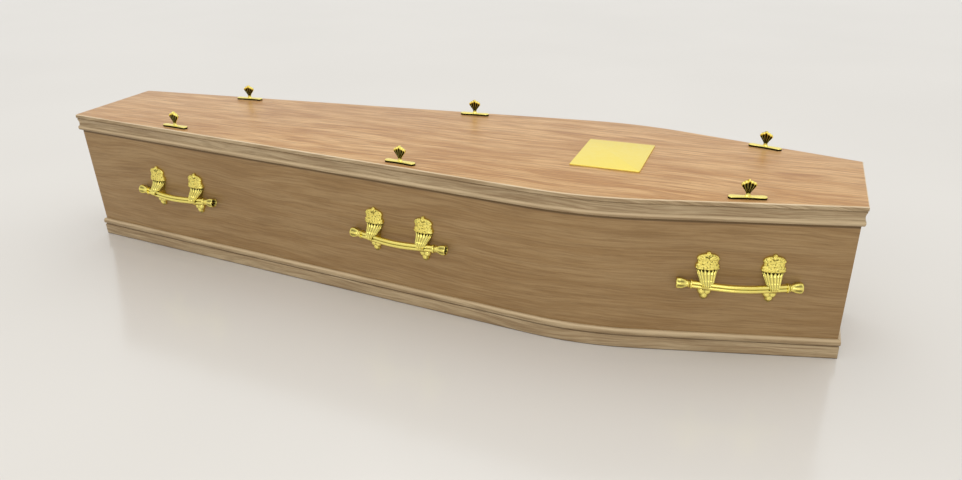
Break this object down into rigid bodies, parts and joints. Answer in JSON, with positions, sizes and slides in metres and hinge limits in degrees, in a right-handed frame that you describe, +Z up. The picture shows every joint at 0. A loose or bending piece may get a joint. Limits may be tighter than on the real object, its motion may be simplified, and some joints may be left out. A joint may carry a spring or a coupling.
{
  "type": "coffin",
  "caption": "Shouldered wooden coffin, hollow, with a moulded lift-off lid, a plain nameplate, bowed brass handles along both sides and fan-shaped lid fittings",
  "frame": {"origin": "under the middle of the coffin's length and width, on the surface that it stands on", "axes": "+X points to the head end, +Y to the right side and +Z up; the sides are at -Y and +Y"},
  "size_m": [1.9, 0.5234, 0.3873],
  "materials": {
    "panel_oak": "light oak veneer under satin lacquer",
    "moulding_oak": "greyish oak moulding under satin lacquer",
    "polished_brass": "bright cast brass with darker recesses",
    "plate_brass": "plain pale brass plate"
  },
  "bodies": {
    "root": {"base_board": "panel_oak", "side_panel_left": "panel_oak", "side_panel_right": "panel_oak", "foot_panel": "panel_oak", "head_panel": "panel_oak", "lid_board": "panel_oak", "lid_moulding_left": "moulding_oak", "lid_moulding_right": "moulding_oak", "lid_moulding_foot": "moulding_oak", "lid_moulding_head": "moulding_oak", "base_moulding_left": "moulding_oak", "base_moulding_right": "moulding_oak", "base_moulding_foot": "moulding_oak", "base_moulding_head": "moulding_oak", "nameplate": "plate_brass", "handle_bar_left_foot": "polished_brass", "handle_bracket_left_foot_headward": "polished_brass", "handle_bracket_left_foot_footward": "polished_brass", "handle_bar_left_middle": "polished_brass", "handle_bracket_left_middle_headward": "polished_brass", "handle_bracket_left_middle_footward": "polished_brass", "handle_bar_left_head": "polished_brass", "handle_bracket_left_head_headward": "polished_brass", "handle_bracket_left_head_footward": "polished_brass", "handle_bar_right_foot": "polished_brass", "handle_bracket_right_foot_footward": "polished_brass", "handle_bracket_right_foot_headward": "polished_brass", "handle_bar_right_middle": "polished_brass", "handle_bracket_right_middle_footward": "polished_brass", "handle_bracket_right_middle_headward": "polished_brass", "handle_bar_right_head": "polished_brass", "handle_bracket_right_head_footward": "polished_brass", "handle_bracket_right_head_headward": "polished_brass", "lid_fitting_left_foot": "polished_brass", "lid_fitting_left_middle": "polished_brass", "lid_fitting_left_head": "polished_brass", "lid_fitting_right_foot": "polished_brass", "lid_fitting_right_middle": "polished_brass", "lid_fitting_right_head": "polished_brass"}
  },
  "joints": []
}
